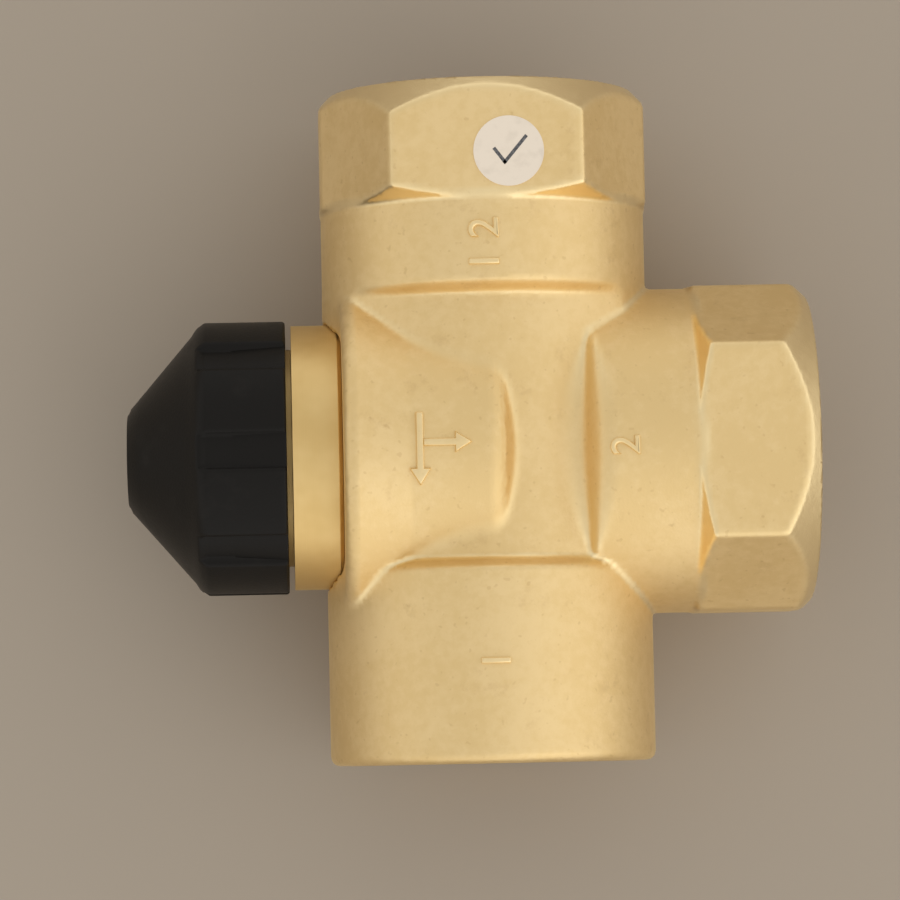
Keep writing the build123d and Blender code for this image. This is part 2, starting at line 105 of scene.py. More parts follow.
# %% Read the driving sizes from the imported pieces
def span(node, axis):
    """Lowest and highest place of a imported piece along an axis, in mm from the crossing."""
    low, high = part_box(node)
    middle = (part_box("stem")[0][1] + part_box("stem")[1][1]) / 2 if axis == 1 else 0.0
    return (low[axis] - middle) / MM, (high[axis] - middle) / MM


crossing = Vector((0.0, (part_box("stem")[0][1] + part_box("stem")[1][1]) / 2, 0.0))
straight_end, common_end = span("valve_body", 1)
branch_end = span("valve_body", 0)[1]
barrel_radius = -span("valve_body", 0)[0]
neck_rim_radius = span("valve_body", 2)[1]
RIM_LIP = 0.45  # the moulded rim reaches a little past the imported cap
CAP_CLEARANCE = 0.7
collar_radius = span("bonnet", 2)[1]
neck_tip, bonnet_inner = span("bonnet", 0)
cap_tip, cap_rim = span("protective_cap", 0)
cap_rim += RIM_LIP
collar_face = cap_rim + CAP_CLEARANCE
print("run from", round(straight_end, 2), "to", round(common_end, 2), "branch to", round(branch_end, 2))

# %% [markdown]
# ## The camera
#
# The photograph looks almost straight down on the valve, turned by a few degrees. The
# turn, the scale and the distance were worked out from the corners of the two hexagons.
# A long lens far away keeps the two ends of the run nearly the same width.

# %% Place the camera
VIEW_TILT = Vector((-0.067, 0.031, 0.0205))  # turn of the valve in front of the camera, radians
VIEW_DISTANCE = 600.0
PIXELS_PER_MM = 7.9
PICTURE_SIZE = 900
VIEW_SHIFT = Vector((4.66, -0.57, 0.0))  # of the crossing from the middle of the picture, mm
SENSOR_WIDTH = 36.0

turn = Matrix.Rotation(VIEW_TILT.length, 3, VIEW_TILT.normalized())
camera_data = bpy.data.cameras.new("portrait_camera")
camera_data.sensor_width = SENSOR_WIDTH
camera_data.lens = SENSOR_WIDTH * PIXELS_PER_MM * VIEW_DISTANCE / PICTURE_SIZE
camera = bpy.data.objects.new("portrait_camera", camera_data)
bpy.context.scene.collection.objects.link(camera)
eye = turn.transposed() @ (Vector((0.0, 0.0, VIEW_DISTANCE)) - VIEW_SHIFT)
camera.matrix_world = Matrix.Translation(crossing + eye * MM) @ turn.transposed().to_4x4()
bpy.context.scene.camera = camera
print("lens", round(camera_data.lens, 1), "mm")

# %% [markdown]
# ## Shader sums written as Python
#
# A grain or a stain is a sum of a few noises. Written as node links it is hard to read, so
# one small class wraps a socket and turns each operator into a Math node. Everything else
# comes from one method that takes a node's kind, its settings and its inputs.


# %% Wrap sockets so that they can be added and multiplied
class Signal:
    """One number output of a node, with Python's operators."""

    def __init__(self, finish, socket):
        self.finish = finish
        self.socket = socket

    def sum_with(self, operation, first, second):
        node = self.finish.node("ShaderNodeMath", {0: first, 1: second}, operation=operation)
        return self.finish.signal(node)

    def __add__(self, other):
        return self.sum_with("ADD", self, other)

    def __radd__(self, other):
        return self.sum_with("ADD", other, self)

    def __sub__(self, other):
        return self.sum_with("SUBTRACT", self, other)

    def __rsub__(self, other):
        return self.sum_with("SUBTRACT", other, self)

    def __mul__(self, other):
        return self.sum_with("MULTIPLY", self, other)

    def __rmul__(self, other):
        return self.sum_with("MULTIPLY", other, self)

    def __pow__(self, other):
        return self.sum_with("POWER", self, other)


class Finish:
    """A material made around one Principled shader."""

    def __init__(self, name, **constants):
        self.material = bpy.data.materials.new(name)
        self.material.use_nodes = True
        self.tree = self.material.node_tree
        self.shader = self.tree.nodes["Principled BSDF"]
        for socket, value in constants.items():
            self.shader.inputs[socket.replace("_", " ")].default_value = value

    def node(self, kind, inputs, **settings):
        made = self.tree.nodes.new(kind)
        for name, value in settings.items():
            setattr(made, name, value)
        for key, value in inputs.items():
            self.feed(made.inputs[key], value)
        return made

    def feed(self, socket, value):
        if isinstance(value, Signal):
            self.tree.links.new(value.socket, socket)
        elif isinstance(value, bpy.types.NodeSocket):
            self.tree.links.new(value, socket)
        else:
            socket.default_value = value

    def signal(self, node, output=0):
        return Signal(self, node.outputs[output])

    def position(self):
        """Place on the valve in mm from the crossing, as three signals."""
        place = self.node("ShaderNodeTexCoord", {}).outputs["Object"]
        parts = self.node("ShaderNodeSeparateXYZ", {0: place})
        x, y, z = (self.signal(parts, i) for i in range(3))
        return x * (1 / MM), (y - crossing.y) * (1 / MM), z * (1 / MM)

    def noise(self, size, detail=3.0, roughness=0.55, stretch=None):
        """Noise from 0 to 1 whose lumps are about size mm across."""
        if stretch is None:
            x, y, z = self.position()
        else:
            x, y, z = stretch
        place = self.node("ShaderNodeCombineXYZ", {0: x, 1: y, 2: z}).outputs[0]
        inputs = {"Vector": place, "Scale": 1 / size, "Detail": detail, "Roughness": roughness}
        return self.signal(self.node("ShaderNodeTexNoise", inputs))

    def stepped(self, value, low, high):
        """Nought below low, one above high, smooth between."""
        inputs = {"Value": value, "From Min": low, "From Max": high}
        made = self.node("ShaderNodeMapRange", inputs, interpolation_type="SMOOTHSTEP")
        return self.signal(made)

    def blend_colors(self, factor, first, second):
        inputs = {"Factor": factor, "A": first, "B": second}
        made = self.tree.nodes.new("ShaderNodeMix")
        made.data_type = "RGBA"
        sockets = {s.identifier: s for s in made.inputs}
        self.feed(sockets["Factor_Float"], inputs["Factor"])
        self.feed(sockets["A_Color"], inputs["A"])
        self.feed(sockets["B_Color"], inputs["B"])
        return next(s for s in made.outputs if s.identifier == "Result_Color")

    def bump(self, height, depth, strength=1.0):
        """Feed a bump whose full height is depth mm into the shader's normal."""
        inputs = {"Height": height, "Distance": depth * MM, "Strength": strength}
        self.feed(self.shader.inputs["Normal"], self.node("ShaderNodeBump", inputs).outputs[0])

    def attribute(self, name):
        made = self.node("ShaderNodeAttribute", {}, attribute_name=name)
        return self.signal(made, "Fac")


# %% [markdown]
# ## Finishes of the metal
# The body is a hot forging that was tumbled and blasted: a matte, finely pitted skin of pale brass, a little browner
# where the blast didn't reach. Edges are painted brighter, partly for rubbed wear and partly as a painted highlight,
# and creases and the turned cones of the hexagons get a painted highlight.
# The collar and the threads were turned and keep the lathe's fine rings.

# %% Brass, forged and turned
BRASS_LIGHT = (0.86, 0.66, 0.35, 1.0)
BRASS_MAIN = (0.81, 0.605, 0.297, 1.0)
BRASS_BROWN = (0.56, 0.365, 0.155, 1.0)
# Bright brass for rubbed edges and for the painted highlight on edges, creases, hexagon cones and marks
BRASS_RUB_AND_HIGHLIGHT = (0.97, 0.79, 0.46, 1.0)
LATHE_LIGHT = (0.80, 0.59, 0.27, 1.0)
LATHE_MAIN = (0.73, 0.52, 0.22, 1.0)


def forged_brass():
    finish = Finish("forged_brass", Metallic=1.0)
    patches = finish.noise(14.0, detail=4.0)
    mottle = finish.noise(1.3, detail=4.0, roughness=0.65)
    pits = finish.noise(0.32, detail=2.0)
    specks = finish.stepped(finish.noise(0.9, detail=1.0), 0.68, 0.78)
    stains = finish.stepped(finish.noise(4.5, detail=5.0, roughness=0.7), 0.57, 0.72)
    crease = finish.attribute("crease")
    edge = finish.attribute("edge")
    tone = finish.blend_colors(
        finish.stepped(patches * 0.55 + mottle * 0.45, 0.40, 0.62), BRASS_MAIN, BRASS_LIGHT
    )
    brown = specks * 0.25 + stains * mottle * 0.45
    stained = finish.blend_colors(brown, tone, BRASS_BROWN)
    # Painted highlight: edges (partly also rubbed wear) and creases are blended towards bright brass
    rubbed_and_highlit = finish.blend_colors(edge * 0.65 + crease * 0.3, stained, BRASS_RUB_AND_HIGHLIGHT)
    finish.feed(finish.shader.inputs["Base Color"], rubbed_and_highlit)
    roughness = 0.49 + mottle * 0.10 - edge * 0.16
    finish.feed(finish.shader.inputs["Roughness"], roughness)
    finish.bump(pits * 0.5 + mottle * 0.7 + patches * 1.5, 0.035)
    return finish.material


def turned_brass(name, axis):
    """Brass with lathe rings about an axis, given by the number of its coordinate."""
    finish = Finish(name, Metallic=1.0)
    place = finish.position()
    along = place[axis]
    side, other = (place[i] for i in range(3) if i != axis)
    radius = (side * side + other * other) ** 0.5
    rings = finish.noise(0.12, detail=2.0, stretch=(along, radius, 0.0))
    patches = finish.noise(9.0)
    tone = finish.blend_colors(finish.stepped(patches, 0.35, 0.65), LATHE_MAIN, LATHE_LIGHT)
    finish.feed(finish.shader.inputs["Base Color"], tone)
    finish.feed(finish.shader.inputs["Roughness"], 0.42 + rings * 0.14)
    finish.bump(rings, 0.012)
    return finish.material


# %% [markdown]
# ## Finishes of the other pieces
#
# The cap is moulded in black plastic with a faint spark-eroded grain. The stem and its
# small parts are drawn and pressed stainless steel, the seals are black rubber, and the
# label is a thin printed film.


# %% Plastic, steel, rubber and film
def cap_plastic():
    finish = Finish("cap_plastic", Specular_IOR_Level=0.17)
    grain = finish.noise(0.35, detail=3.0)
    scuffs = finish.stepped(finish.noise(5.0, detail=5.0), 0.55, 0.75)
    tone = finish.blend_colors(scuffs, (0.0055, 0.0045, 0.0035, 1.0), (0.010, 0.0085, 0.007, 1.0))
    finish.feed(finish.shader.inputs["Base Color"], tone)
    finish.feed(finish.shader.inputs["Roughness"], 0.38 + grain * 0.08 + scuffs * 0.08)
    finish.bump(grain, 0.02)
    return finish.material


def stainless():
    finish = Finish("stainless", Metallic=1.0)
    x, y, z = finish.position()
    drawn = finish.noise(0.12, detail=2.0, stretch=(x * 0.05, y, z))
    tone = finish.blend_colors(drawn, (0.56, 0.56, 0.55, 1.0), (0.68, 0.68, 0.66, 1.0))
    finish.feed(finish.shader.inputs["Base Color"], tone)
    finish.feed(finish.shader.inputs["Roughness"], 0.22 + drawn * 0.16)
    finish.bump(drawn, 0.006)
    return finish.material


def seal_rubber():
    finish = Finish("seal_rubber", Specular_IOR_Level=0.4)
    grain = finish.noise(0.25)
    tone = finish.blend_colors(grain, (0.012, 0.012, 0.012, 1.0), (0.028, 0.027, 0.026, 1.0))
    finish.feed(finish.shader.inputs["Base Color"], tone)
    finish.feed(finish.shader.inputs["Roughness"], 0.5 + grain * 0.15)
    finish.bump(grain, 0.01)
    return finish.material


def clear_plastic():
    finish = Finish("clear_plastic")
    cloud = finish.noise(2.0)
    tone = finish.blend_colors(cloud, (0.66, 0.62, 0.50, 1.0), (0.76, 0.73, 0.63, 1.0))
    finish.feed(finish.shader.inputs["Base Color"], tone)
    finish.feed(finish.shader.inputs["Roughness"], 0.32 + cloud * 0.1)
    return finish.material


def label_film():
    finish = Finish("label_film", Specular_IOR_Level=0.5)
    fibre = finish.noise(0.5, detail=4.0)
    dust = finish.stepped(finish.noise(2.2, detail=3.0), 0.45, 0.7)
    tone = finish.blend_colors(dust * 0.5, (0.84, 0.735, 0.61, 1.0), (0.68, 0.59, 0.48, 1.0))
    finish.feed(finish.shader.inputs["Base Color"], tone)
    finish.feed(finish.shader.inputs["Roughness"], 0.42 + fibre * 0.1)
    finish.bump(fibre, 0.02)
    return finish.material


def printing_ink():
    finish = Finish("printing_ink")
    worn = finish.noise(0.3)
    tone = finish.blend_colors(finish.stepped(worn, 0.3, 0.8), (0.05, 0.05, 0.055, 1.0), (0.2, 0.2, 0.2, 1.0))
    finish.feed(finish.shader.inputs["Base Color"], tone)
    return finish.material


FORGED = forged_brass()
TURNED_STEM = turned_brass("turned_brass", 0)
TURNED_RUN = turned_brass("turned_brass_run", 1)
FINISHES = {
    "forged_brass": FORGED,
    "turned_brass": TURNED_STEM,
    "stainless": stainless(),
    "seal_rubber": seal_rubber(),
    "cap_plastic": cap_plastic(),
    "clear_plastic": clear_plastic(),
    "label_film": label_film(),
}
INK = printing_ink()
for part in frame["record"]["subparts"]:
    for material_slot in nodes[part["node"]].material_slots:
        material_slot.material = FINISHES[part["material_slot"]]
print("finishes:", len(FINISHES))

# %% [markdown]
# ## Forged forms from a distance function
#
# A forging has no sharp edge: wherever two forms meet, the metal runs round the corner.
# Bevels on a boolean mesh fail just there. A distance function says for any place how far
# it lies outside the metal, and two of them blend with one soft minimum, so every crease
# gets its radius for free. The surface is then found on a grid and each point is slid
# along the slope until the distance is zero.


# %% Blend distances
def soft_union(first, second, width):
    """The smaller distance, with the corner rounded over about width mm."""
    reach = np.maximum(width - np.abs(first - second), 0) / width
    return np.minimum(first, second) - reach * reach * width / 4


def soft_overlap(first, second, width):
    return -soft_union(-first, -second, width)


def soft_cut(first, second, width):
    return soft_overlap(first, -second, width)


def between(place, low, high):
    return np.maximum(low - place, place - high)


# %% Distance to a turned form
AXIS_DEPTH = 40.0  # outlines are carried this far past the axis, where there is no edge


def turned(along, radius, outline):
    """Distance to a form turned about an axis, from its outline of (along, radius) points."""
    points = [(outline[0][0], -AXIS_DEPTH), *outline, (outline[-1][0], -AXIS_DEPTH)]
    nearest = np.inf
    inside = False
    for start, end in zip(points, points[1:] + points[:1]):
        run, rise = end[0] - start[0], end[1] - start[1]
        a, r = along - start[0], radius - start[1]
        share = np.clip((a * run + r * rise) / (run * run + rise * rise), 0, 1)
        nearest = np.minimum(nearest, (a - run * share) ** 2 + (r - rise * share) ** 2)
        crosses = (start[1] > radius) != (end[1] > radius)
        if rise:
            inside = inside ^ (crosses & (a < run * r / rise))
    return np.where(inside, -1, 1) * np.sqrt(nearest)


def arc_points(centre, radius, from_angle, to_angle, count=7):
    """Points along an arc of an outline, angles in degrees."""
    angles = np.radians(np.linspace(from_angle, to_angle, count))
    return [(centre[0] + radius * math.cos(a), centre[1] + radius * math.sin(a)) for a in angles]


# %% [markdown]
# ## Finding the surface
#
# Each cell of the grid that the surface passes gets one point, the mean of where it cuts
# the cell's edges, and the four cells round each cut edge are joined by a face. That is
# the surface net, the plainest way from a grid to quads. The slope of the distance also
# gives exact normals, and how fast the slope turns tells creases from edges.


# %% Mesh a distance function
def slope(distance, points, reach):
    """Direction and steepness of a distance function at points, over reach mm each way."""
    columns = []
    for axis in range(3):
        step = np.zeros(3)
        step[axis] = reach
        ahead, behind = points + step, points - step
        columns.append((distance(*ahead.T) - distance(*behind.T)) / (2 * reach))
    gradient = np.stack(columns, axis=1)
    steepness = np.maximum(np.linalg.norm(gradient, axis=1, keepdims=True), 1e-3)
    return gradient / steepness, steepness


def slide_onto_surface(distance, points, cell, times=4):
    """Move points along the slope until the distance is zero, by half a cell at most each time."""
    for _ in range(times):
        direction, steepness = slope(distance, points, 0.05)
        slip = distance(*points.T)[:, None] / steepness
        points = points - np.clip(slip, -cell / 2, cell / 2) * direction
    return points


def ring_of_cells(spots, number, u, v, flip):
    """The four cells round each cut edge, as one face."""
    corners = []
    for back_u, back_v in ((1, 1), (0, 1), (0, 0), (1, 0)):
        cell = spots.copy()
        cell[:, u] -= back_u
        cell[:, v] -= back_v
        corners.append(number[tuple(cell.T)])
    return np.stack(corners[::-1] if flip else corners, axis=1)


def surface_net(distance, low, high, cell):
    """Points and quads of the surface where a distance function is zero."""
    ticks = [np.arange(a, b + cell, cell) for a, b in zip(low, high)]
    x, y, z = np.meshgrid(*ticks, indexing="ij", sparse=True)
    grid = distance(x, y, z).astype(np.float32)
    inside = grid < 0
    near, far = slice(None, -1), slice(1, None)
    corners = [inside[i, j, k] for i in (near, far) for j in (near, far) for k in (near, far)]
    counts = np.sum(corners, axis=0, dtype=np.int8)
    cells = np.argwhere((counts > 0) & (counts < len(corners)))
    number = np.full(counts.shape, -1, dtype=np.int64)
    number[tuple(cells.T)] = np.arange(len(cells))
    total = np.zeros((len(cells), 3))
    weight = np.zeros(len(cells))
    for axis in range(3):
        for first in (0, 1):
            for second in (0, 1):
                start = np.zeros(3, dtype=int)
                start[[a for a in range(3) if a != axis]] = first, second
                end = start.copy()
                end[axis] = 1
                near_value = grid[tuple((cells + start).T)]
                far_value = grid[tuple((cells + end).T)]
                cut = (near_value < 0) != (far_value < 0)
                share = np.where(cut, near_value / np.where(cut, near_value - far_value, 1), 0)
                spot = cells + start + share[:, None] * (end - start)
                total += spot * cut[:, None]
                weight += cut
    points = total / weight[:, None] * cell + np.array([t[0] for t in ticks])
    quads = []
    for axis in range(3):
        u, v = (axis + 1) % 3, (axis + 2) % 3
        low_side = tuple(near if a == axis else slice(None) for a in range(3))
        high_side = tuple(far if a == axis else slice(None) for a in range(3))
        for leaves, flip in ((inside[low_side] & ~inside[high_side], False),
                             (inside[high_side] & ~inside[low_side], True)):
            quads.append(ring_of_cells(np.argwhere(leaves), number, u, v, flip))
    return points, np.concatenate(quads)


# %% Turn points and faces into a piece
def new_piece(name, points, faces, material, body="body"):
    """A mesh object from points in mm from the crossing, riding on a body."""
    mesh = bpy.data.meshes.new(name)
    mesh.vertices.add(len(points))
    mesh.vertices.foreach_set("co", (np.asarray(points) * MM + np.array(crossing)).ravel())
    size = faces.shape[1]
    mesh.loops.add(faces.size)
    mesh.loops.foreach_set("vertex_index", faces.ravel())
    mesh.polygons.add(len(faces))
    mesh.polygons.foreach_set("loop_start", np.arange(len(faces)) * size)
    mesh.polygons.foreach_set("loop_total", np.full(len(faces), size))
    mesh.update(calc_edges=True)
    mesh.validate()
    mesh.shade_smooth()
    mesh.materials.append(material)
    piece = bpy.data.objects.new(name, mesh)
    bpy.context.scene.collection.objects.link(piece)
    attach(piece, body)
    return piece


def add_numbers(piece, name, values):
    """Keep one number for each point of a piece, for its finish to read."""
    layer = piece.data.attributes.new(name, "FLOAT", "POINT")
    layer.data.foreach_set("value", np.asarray(values, dtype=np.float32))


# %% [markdown]
# ## The body
#
# Two round barrels cross at a right angle. Between the bosses the run is relieved front and
# back to a crowned floor, with a short slope up to the barrel at each end. The branch boss
# rises from that floor in a cove, deepest in the middle. The neck boss flares towards the
# collar. Two ports end in a hexagon whose side corners are trimmed flush with the round.

# %% Forms of the outside
FLOOR_DEPTH = 2.6
FLOOR_CROWN = barrel_radius - FLOOR_DEPTH
FLOOR_ROUND = barrel_radius + 5.4
FLOOR_TOP = 19.05
FLOOR_BOTTOM = -13.85
SLOPE_LENGTH = 1.0
SLOPE_SOFTNESS = 0.55
STRAIGHT_CHAMFER = 1.2
HEXAGON_LENGTH = 15.0
HEXAGON_SHOULDER = 1.5
HEXAGON_END_SLOPE = math.tan(math.radians(46.0))
END_FACE_RADIUS = 19.25
BRANCH_WALL = 12.3  # middle of the cove
COVE_WIDTH = 4.6
COVE_BROW = 3.2  # how far the boss's edge is rounded back
COVE_HALF_LENGTH = 13.8
COVE_REACH = 5.5
CREASE_WIDTH = 0.65
NECK_RIM = -18.3
NECK_RIM_ROUND = 1.6
CORNER_RADIUS = barrel_radius / math.cos(math.radians(30))


def run_barrel(x, y, z):
    top = common_end - HEXAGON_LENGTH + HEXAGON_SHOULDER / 2
    corner = (straight_end + STRAIGHT_CHAMFER, barrel_radius - STRAIGHT_CHAMFER)
    outline = [*arc_points(corner, STRAIGHT_CHAMFER, 180, 90), (top, barrel_radius)]
    barrel = turned(y, np.hypot(x, z), outline)
    floor = np.hypot(x, np.abs(z) + FLOOR_ROUND - FLOOR_CROWN) - FLOOR_ROUND
    past_end = np.maximum(y - FLOOR_TOP, FLOOR_BOTTOM - y) / SLOPE_LENGTH
    climb = soft_overlap(soft_union(past_end, 1.0, SLOPE_SOFTNESS), 0.0, SLOPE_SOFTNESS)
    lean = np.hypot(1, (floor - barrel) * 4 * climb * (1 - climb) / SLOPE_LENGTH)
    return soft_overlap(barrel, (floor + climb * (barrel - floor)) / lean, 0.15)


def cove_share(y):
    """One in the middle of the cove, nought where it runs out into the creases."""
    return np.clip(1 - (y / COVE_HALF_LENGTH) ** 2, 0, 1)


def branch_boss(x, y, z):
    top = branch_end - HEXAGON_LENGTH + HEXAGON_SHOULDER / 2
    boss = np.maximum(np.hypot(y, z) - barrel_radius, x - top)
    return soft_overlap(boss, BRANCH_WALL - x, 0.3 + COVE_BROW * cove_share(y))


def neck_boss(x, y, z):
    rim_centre = (NECK_RIM + NECK_RIM_ROUND, neck_rim_radius - NECK_RIM_ROUND)
    outline = [
        *arc_points(rim_centre, NECK_RIM_ROUND, 180, 90),
        (-13.0, barrel_radius + 0.85),
        (-10.0, barrel_radius + 0.4),
        (-0.5, barrel_radius + 0.12),
        (0.3, barrel_radius),
        (1.0, barrel_radius - 0.3),
        (1.6, barrel_radius - 0.8),
        (3.4, FLOOR_CROWN - 0.9),
        (4.4, FLOOR_CROWN - 4),
    ]
    return turned(x, np.hypot(y, z), outline)


def turned_ends(along, side, z, reach):
    """The two cones that a lathe cuts across the corners of a port's hexagon."""
    start = reach - HEXAGON_LENGTH
    drop = (CORNER_RADIUS - END_FACE_RADIUS) * HEXAGON_END_SLOPE
    outline = [
        (start, barrel_radius),
        (start + HEXAGON_SHOULDER, CORNER_RADIUS),
        (reach - drop, CORNER_RADIUS),
        (reach, END_FACE_RADIUS),
    ]
    return turned(along, np.hypot(side, z), outline)


def hexagon_end(along, side, z, reach):
    """Hexagon of a port, whose flats face the front and the back."""
    flats = np.maximum(np.abs(z), np.abs(side) * math.cos(math.radians(30)) + np.abs(z) / 2) - barrel_radius
    trimmed = soft_overlap(flats, np.abs(side) - barrel_radius, 0.4)
    return soft_overlap(trimmed, turned_ends(along, side, z, reach), 0.4)


# %% Forms of the inside
PIPE_THREAD_DEPTH = 16.0
THREAD_SEAT_RADIUS = 17.0  # the threads are pieces of their own, set into this bore
FACE_DEPTH = 1.0  # and so are the faces of the ports, set into a recess
FACE_MARGIN = 1.3
STRAIGHT_FACE_RADIUS = barrel_radius - STRAIGHT_CHAMFER
WATERWAY_RADIUS = 12.5
INNER_WALL = -3.4
MIDDLE_END = 10.9


def straight_bore(along, radius, start, end, size):
    return np.maximum(between(along, start, end), radius - size)


def slot(along, across, z, limits, half_height, end):
    """A slot with round ends that leads from a chamber out to a port."""
    middle, half_width = (limits[0] + limits[1]) / 2, (limits[1] - limits[0]) / 2
    z_over = np.maximum(np.abs(z) - (half_height - half_width), 0)
    return np.maximum(np.hypot(across - middle, z_over) - half_width, between(along, 0, end))


def waterways(x, y, z):
    run, stem = np.hypot(x, z), np.hypot(y, z)
    chambers = turned(
        x,
        stem,
        [
            (NECK_RIM - 1, 13.0),
            (-9.6, 13.0),
            (-9.6, 12.0),
            (INNER_WALL, 12.0),
            (INNER_WALL, 7.5),
            (0.6, 7.5),
            (0.6, 9.2),
            (0.0, 9.8),
            (0.0, 12.2),
            (MIDDLE_END, 12.2),
            (MIDDLE_END, 13.2),
            (17.2, 13.2),
            (17.2, 13.8),
            (branch_end - PIPE_THREAD_DEPTH, 13.8),
            (branch_end - PIPE_THREAD_DEPTH, THREAD_SEAT_RADIUS),
            (branch_end + 1, THREAD_SEAT_RADIUS),
        ],
    )
    common = straight_bore(y, run, 20.0, common_end, WATERWAY_RADIUS)
    straight = straight_bore(-y, run, 17.0, -straight_end, WATERWAY_RADIUS)
    common_seat = straight_bore(y, run, common_end - PIPE_THREAD_DEPTH, common_end + 1, THREAD_SEAT_RADIUS)
    straight_seat = straight_bore(-y, run, -straight_end - PIPE_THREAD_DEPTH, 1 - straight_end, THREAD_SEAT_RADIUS)
    common_slot = slot(y, x, z, (0.6, MIDDLE_END - 0.6), 10.5, 20.5)
    straight_slot = slot(-y, x, z, (-9.0, INNER_WALL - 0.6), 9.0, 17.5)
    faces = [
        straight_bore(place, radius, end - FACE_DEPTH, end + 1, size - FACE_MARGIN + 0.04)
        for place, radius, end, size in (
            (y, run, common_end, END_FACE_RADIUS),
            (x, stem, branch_end, END_FACE_RADIUS),
            (-y, run, -straight_end, STRAIGHT_FACE_RADIUS),
        )
    ]
    void = chambers
    for bore in (common, straight, common_seat, straight_seat, common_slot, straight_slot, *faces):
        void = np.minimum(void, bore)
    return void


# %% The body's distance function
def valve_body_distance(x, y, z):
    cove = CREASE_WIDTH + (COVE_WIDTH - CREASE_WIDTH) * cove_share(y)
    forging = soft_union(run_barrel(x, y, z), branch_boss(x, y, z), cove)
    forging = soft_union(forging, neck_boss(x, y, z), CREASE_WIDTH)
    facing = np.maximum(x - NECK_RIM, np.hypot(y, z) - collar_radius - COLLAR_GAP)
    forging = soft_cut(forging, facing, 0.2)
    forging = soft_union(forging, hexagon_end(y, x, z, common_end), 0.5)
    forging = soft_union(forging, hexagon_end(x, y, z, branch_end), 0.5)
    return soft_cut(forging, waterways(x, y, z), 0.3)


# %% Mesh the body
BODY_CELL = 0.6
COLLAR_GAP = 0.15
GRID_MARGIN = 1.5
NORMAL_REACH = 0.12
CREASE_REACH = 0.6


def forge_body():
    low = (-barrel_radius - GRID_MARGIN, straight_end - GRID_MARGIN, -neck_rim_radius - GRID_MARGIN)
    high = (branch_end + GRID_MARGIN, common_end + GRID_MARGIN, neck_rim_radius + GRID_MARGIN)
    points, faces = surface_net(valve_body_distance, low, high, BODY_CELL)
    points = slide_onto_surface(valve_body_distance, points, BODY_CELL)
    normals, _ = slope(valve_body_distance, points, NORMAL_REACH)
    piece = new_piece("forged_body", points, faces, FORGED)
    piece.data.normals_split_custom_set_from_vertices(normals.astype(np.float64))
    # How far the wider distance departs from flat tells a crease (below) from an edge (above)
    hollow = valve_body_distance(*(points + normals * CREASE_REACH).T) - CREASE_REACH
    solid = -valve_body_distance(*(points - normals * CREASE_REACH).T) - CREASE_REACH
    x, y, z = points.T
    # The painted highlight of creases and edges, and the edge rub, are kept out of the cove and the waterways
    rub_and_highlight_share = 1 - 0.9 * cove_share(y) * (np.abs(x - BRANCH_WALL) < COVE_REACH)
    rub_and_highlight_share = rub_and_highlight_share * (waterways(x, y, z) > NORMAL_REACH)
    # Painted highlight: concave creases are brightened
    add_numbers(piece, "crease", np.clip(-hollow / 0.3, 0, 1) * rub_and_highlight_share)
    # Painted highlight: the turned cones at the hexagon corners are painted bright, and edges are brightened partly for
    # rubbed wear and partly as a painted highlight
    cones = np.minimum(np.abs(turned_ends(y, x, z, common_end)), np.abs(turned_ends(x, y, z, branch_end)))
    cut_cone_highlight = np.clip(1.5 - cones / 0.1, 0, 1) * (np.abs(normals[:, 2]) < 0.95)
    add_numbers(piece, "edge", np.maximum(np.clip(-solid / 0.15, 0, 1) * rub_and_highlight_share, cut_cone_highlight))
    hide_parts("valve_body")
    print("body:", len(points), "points", len(faces), "faces")
    return piece


forged_body = forge_body()

# %% [markdown]
# ## Turned pieces
#
# A lathe makes a form from one outline and an axis, and so does this helper. Sharp corners
# get a fine bevel, because no real edge is without one and it is the bevel that catches
# the light. A thread can't be turned from an outline: its groove climbs by one pitch a
# turn. Its grid is sheared by that much, so that each row follows the groove.


# %% Turning helpers
class Spindle:
    """An axis through the crossing, with two directions square to it."""

    def __init__(self, along, side):
        self.along = Vector(along)
        self.side = Vector(side)
        self.other = self.along.cross(self.side)

    def points(self, along, radius, angle):
        along, radius, angle = np.broadcast_arrays(along, radius, angle)
        a, s, o = (np.array(v) for v in (self.along, self.side, self.other))
        wide = radius * np.cos(angle), radius * np.sin(angle)
        return along[..., None] * a + wide[0][..., None] * s + wide[1][..., None] * o


STEM = Spindle((1, 0, 0), (0, 1, 0))
COMMON = Spindle((0, 1, 0), (0, 0, 1))
STRAIGHT = Spindle((0, -1, 0), (0, 0, 1))


def grid_faces(rows, columns, closed):
    """Quads of a grid of points, closed round its rows or open."""
    row, column = np.meshgrid(np.arange(rows - 1), np.arange(columns if closed else columns - 1), indexing="ij")
    ahead = (column + 1) % columns
    corners = (row * columns + column, (row + 1) * columns + column, (row + 1) * columns + ahead, row * columns + ahead)
    return np.stack([c.ravel() for c in corners], axis=1)


def face_outwards(piece):
    """Join points that coincide and turn every face outwards."""
    work = bmesh.new()
    work.from_mesh(piece.data)
    bmesh.ops.remove_doubles(work, verts=work.verts, dist=1e-7)
    bmesh.ops.dissolve_degenerate(work, edges=work.edges, dist=1e-7)
    bmesh.ops.recalc_face_normals(work, faces=work.faces)
    work.to_mesh(piece.data)
    work.free()


def turn_piece(name, spindle, outline, material, body="body", bevel=0.12, count=160):
    """A closed form turned from an outline of (along, radius) points."""
    outline = np.array(outline)
    angles = np.linspace(0, 2 * math.pi, count, endpoint=False)
    points = spindle.points(outline[:, 0][:, None], outline[:, 1][:, None], angles[None, :])
    rows = np.concatenate([points, points[:1]])
    piece = new_piece(name, rows.reshape(-1, 3), grid_faces(len(rows), count, True), material, body)
    face_outwards(piece)
    if bevel:
        edges = piece.modifiers.new("fine_edges", "BEVEL")
        edges.width = bevel * MM
        edges.segments = 2
        edges.limit_method = "ANGLE"
        edges.angle_limit = math.radians(20)
        edges.harden_normals = True
    piece.data.set_sharp_from_angle(angle=math.radians(35))
    return piece


